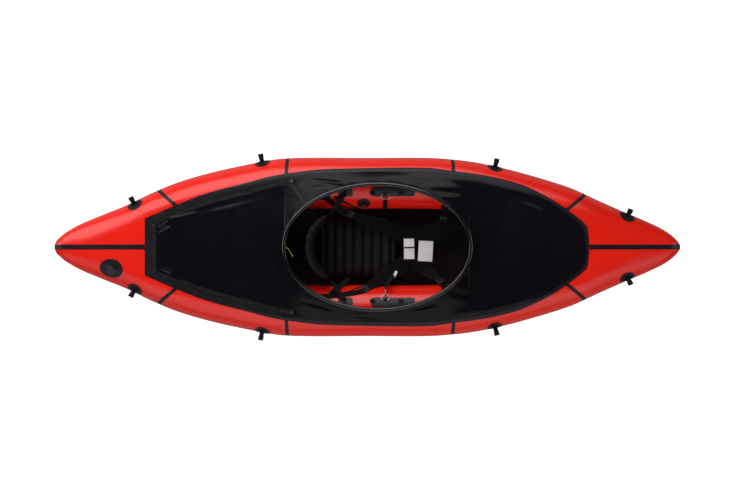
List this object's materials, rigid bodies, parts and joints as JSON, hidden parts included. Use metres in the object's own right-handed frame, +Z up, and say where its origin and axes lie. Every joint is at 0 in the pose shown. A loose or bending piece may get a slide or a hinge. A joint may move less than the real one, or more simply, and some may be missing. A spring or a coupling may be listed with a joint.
{
  "type": "packraft",
  "caption": "Decked inflatable packraft with a cockpit coaming, zipped rear deck, seat, backrest, thigh straps, valves and tie-down loops.",
  "frame": {"origin": "under the middle of the boat, on the surface that the floor rests on", "axes": "+X towards the bow, +Y towards port, +Z up"},
  "size_m": [2.9326, 0.8898, 0.3252],
  "materials": {
    "hull_fabric": "coated woven fabric, smooth with a soft sheen",
    "deck_fabric": "coated woven fabric, glossy, lightly wrinkled",
    "floor_fabric": "heavy coated fabric, satin",
    "seam_tape": "welded tape, satin",
    "patch_fabric": "welded fabric patch, satin",
    "webbing": "woven webbing, matt",
    "cushion_fabric": "coated fabric over air, satin",
    "coaming_hoop": "sleeved hoop, glossy",
    "valve_plastic": "moulded plastic, satin",
    "hardware_plastic": "moulded, satin",
    "zip_pull": "moulded, matt",
    "ring_steel": "polished wire",
    "pull_cord": "braided cord"
  },
  "bodies": {
    "hull": {"backrest_strap_port": "webbing", "backrest_strap_starboard": "webbing", "backrest_tab": "webbing", "bow_centre_tape": "seam_tape", "bow_cone": "hull_fabric", "coaming_collar": "deck_fabric", "coaming_hoop": "coaming_hoop", "deck_seam_strip": "seam_tape", "floor_panel": "floor_fabric", "foot_brace": "cushion_fabric", "front_deck": "deck_fabric", "main_valve_body": "valve_plastic", "main_valve_patch": "patch_fabric", "mouth_valve_patch": "patch_fabric", "mouth_valve_stem": "valve_plastic", "port_tube_front": "hull_fabric", "port_tube_middle": "hull_fabric", "port_tube_rear": "hull_fabric", "pull_cord": "pull_cord", "rear_zip_tape": "seam_tape", "ring_patch_port": "patch_fabric", "ring_patch_starboard": "patch_fabric", "ring_strap_port": "webbing", "seat_cushion": "cushion_fabric", "starboard_tube_front": "hull_fabric", "starboard_tube_middle": "hull_fabric", "starboard_tube_rear": "hull_fabric", "stern_centre_tape": "seam_tape", "stern_cone": "hull_fabric", "tie_down_bow_port_patch": "patch_fabric", "tie_down_bow_starboard_patch": "patch_fabric", "tie_down_front_port_patch": "patch_fabric", "tie_down_front_starboard_patch": "patch_fabric", "tie_down_rear_port_patch": "patch_fabric", "tie_down_rear_starboard_patch": "patch_fabric", "tie_down_stern_port_patch": "patch_fabric", "tie_down_stern_starboard_patch": "patch_fabric"},
    "rear_flap": {"rear_deck_flap": "deck_fabric"},
    "zip_slider_body": {"zip_slider": "hardware_plastic"},
    "zip_pull_body": {"zip_pull": "zip_pull"},
    "valve_cap": {"main_valve_cap": "valve_plastic"},
    "valve_plunger": {"main_valve_plunger": "valve_plastic"},
    "mouth_nozzle": {"mouth_valve_nozzle": "valve_plastic"},
    "backrest_body": {"backrest": "cushion_fabric"},
    "thigh_port": {"thigh_strap_port": "webbing"},
    "thigh_centre": {"thigh_centre_strap": "webbing"},
    "thigh_starboard": {"thigh_strap_starboard": "webbing", "hook_webbing": "webbing"},
    "ring_port_body": {"ring_port": "ring_steel"},
    "ring_starboard_body": {"ring_starboard": "ring_steel"},
    "snap_hook_body": {"snap_hook": "hardware_plastic"},
    "snap_gate_body": {"snap_gate": "ring_steel"},
    "tie_down_stern_port_swing": {"tie_down_stern_port_loop": "webbing"},
    "tie_down_rear_port_swing": {"tie_down_rear_port_loop": "webbing"},
    "tie_down_front_port_swing": {"tie_down_front_port_loop": "webbing"},
    "tie_down_bow_port_swing": {"tie_down_bow_port_loop": "webbing"},
    "tie_down_stern_starboard_swing": {"tie_down_stern_starboard_loop": "webbing"},
    "tie_down_rear_starboard_swing": {"tie_down_rear_starboard_loop": "webbing"},
    "tie_down_front_starboard_swing": {"tie_down_front_starboard_loop": "webbing"},
    "tie_down_bow_starboard_swing": {"tie_down_bow_starboard_loop": "webbing"}
  },
  "joints": [
    {"name": "rear_deck_flap", "type": "hinge", "parent": "hull", "child": "rear_flap", "pos_m": [-0.418, 0, 0.286], "axis": [0, 1, 0], "range_deg": [0, 100]},
    {"name": "zip_slider", "type": "slide", "parent": "rear_flap", "child": "zip_slider_body", "axis": [0, -1, 0], "range_m": [0, 0.1909]},
    {"name": "zip_pull", "type": "hinge", "parent": "zip_slider_body", "child": "zip_pull_body", "pos_m": [-0.9922, 0.09546, 0.28324], "axis": [0, -1, 0], "range_deg": [0, 120]},
    {"name": "main_valve_cap", "type": "hinge", "parent": "hull", "child": "valve_cap", "pos_m": [-1.19827, -0.10334, 0.27801], "axis": [-0.1009, -0.3242, 0.9406], "range_deg": [0, 120]},
    {"name": "main_valve_plunger", "type": "slide", "parent": "hull", "child": "valve_plunger", "axis": [0.1009, 0.3242, -0.9406], "range_m": [0, 0.003], "stiffness_N_per_m": 120, "springref_m": -0.001},
    {"name": "mouth_valve_nozzle", "type": "hinge", "parent": "hull", "child": "mouth_nozzle", "pos_m": [-0.018, 0.20463, 0.1968], "axis": [-0.0014, -0.809, 0.5878], "range_deg": [0, 90]},
    {"name": "backrest_tilt", "type": "hinge", "parent": "hull", "child": "backrest_body", "pos_m": [-0.2765, 0, 0.1147], "axis": [0, 1, 0], "range_deg": [-15, 25], "deforming": ["backrest_tab", "backrest_strap_port", "backrest_strap_starboard"]},
    {"name": "thigh_strap_port", "type": "hinge", "parent": "hull", "child": "thigh_port", "pos_m": [-0.207, 0.2359, 0.22426], "axis": [-0.9936, 0.0781, 0.0812], "range_deg": [0, 38], "deforming": ["thigh_strap_port"]},
    {"name": "thigh_strap_starboard", "type": "hinge", "parent": "hull", "child": "thigh_starboard", "pos_m": [-0.207, -0.2359, 0.22426], "axis": [0.9936, 0.0781, -0.0812], "range_deg": [0, 38], "deforming": ["thigh_strap_starboard", "hook_webbing"]},
    {"name": "thigh_centre_strap", "type": "slide", "parent": "hull", "child": "thigh_centre", "axis": [0, 0, 1], "range_m": [0, 0.1146]},
    {"name": "ring_port", "type": "hinge", "parent": "hull", "child": "ring_port_body", "pos_m": [0.08401, 0.24825, 0.23641], "axis": [-1, -0.0051, -0.0004], "range_deg": [-10, 45], "deforming": ["ring_strap_port"]},
    {"name": "ring_starboard", "type": "hinge", "parent": "hull", "child": "ring_starboard_body", "pos_m": [0.08401, -0.24825, 0.23641], "axis": [1, -0.0051, 0.0004], "range_deg": [-10, 25], "deforming": ["hook_webbing"]},
    {"name": "snap_hook", "type": "hinge", "parent": "ring_starboard_body", "child": "snap_hook_body", "pos_m": [0.08412, -0.22642, 0.23373], "axis": [1, -0.0051, 0.0004], "range_deg": [-12, 25], "deforming": ["hook_webbing"]},
    {"name": "snap_gate", "type": "hinge", "parent": "snap_hook_body", "child": "snap_gate_body", "pos_m": [0.08425, -0.20038, 0.23859], "axis": [1, -0.0051, 0.0004], "range_deg": [0, 20], "stiffness_Nm_per_rad": 0.02, "springref_deg": -11.46},
    {"name": "tie_down_stern_port", "type": "hinge", "parent": "hull", "child": "tie_down_stern_port_swing", "pos_m": [-1.09875, 0.20765, 0.24186], "axis": [0.8819, 0.4642, -0.0822], "range_deg": [-50, 50]},
    {"name": "tie_down_rear_port", "type": "hinge", "parent": "hull", "child": "tie_down_rear_port_swing", "pos_m": [-0.50182, 0.40987, 0.17747], "axis": [0.9826, 0.1858, 0.0004], "range_deg": [-50, 50]},
    {"name": "tie_down_front_port", "type": "hinge", "parent": "hull", "child": "tie_down_front_port_swing", "pos_m": [0.60809, 0.38726, 0.17847], "axis": [0.9748, -0.2221, 0.0222], "range_deg": [-50, 50]},
    {"name": "tie_down_bow_port", "type": "hinge", "parent": "hull", "child": "tie_down_bow_port_swing", "pos_m": [1.2247, 0.15125, 0.24757], "axis": [0.9108, -0.4022, 0.0933], "range_deg": [-50, 50]},
    {"name": "tie_down_stern_starboard", "type": "hinge", "parent": "hull", "child": "tie_down_stern_starboard_swing", "pos_m": [-1.09875, -0.20765, 0.24186], "axis": [0.8819, -0.4642, -0.0822], "range_deg": [-50, 50]},
    {"name": "tie_down_rear_starboard", "type": "hinge", "parent": "hull", "child": "tie_down_rear_starboard_swing", "pos_m": [-0.50182, -0.40987, 0.17747], "axis": [0.9826, -0.1858, 0.0004], "range_deg": [-50, 50]},
    {"name": "tie_down_front_starboard", "type": "hinge", "parent": "hull", "child": "tie_down_front_starboard_swing", "pos_m": [0.60809, -0.38726, 0.17847], "axis": [0.9748, 0.2221, 0.0222], "range_deg": [-50, 50]},
    {"name": "tie_down_bow_starboard", "type": "hinge", "parent": "hull", "child": "tie_down_bow_starboard_swing", "pos_m": [1.2247, -0.15125, 0.24757], "axis": [0.9108, 0.4022, 0.0933], "range_deg": [-50, 50]}
  ],
  "couplings": [
    {"joint": "thigh_strap_starboard", "follows": "thigh_strap_port", "ratio": 1},
    {"joint": "thigh_centre_strap", "follows": "thigh_strap_port", "m_per_rad": 0.1627}
  ]
}
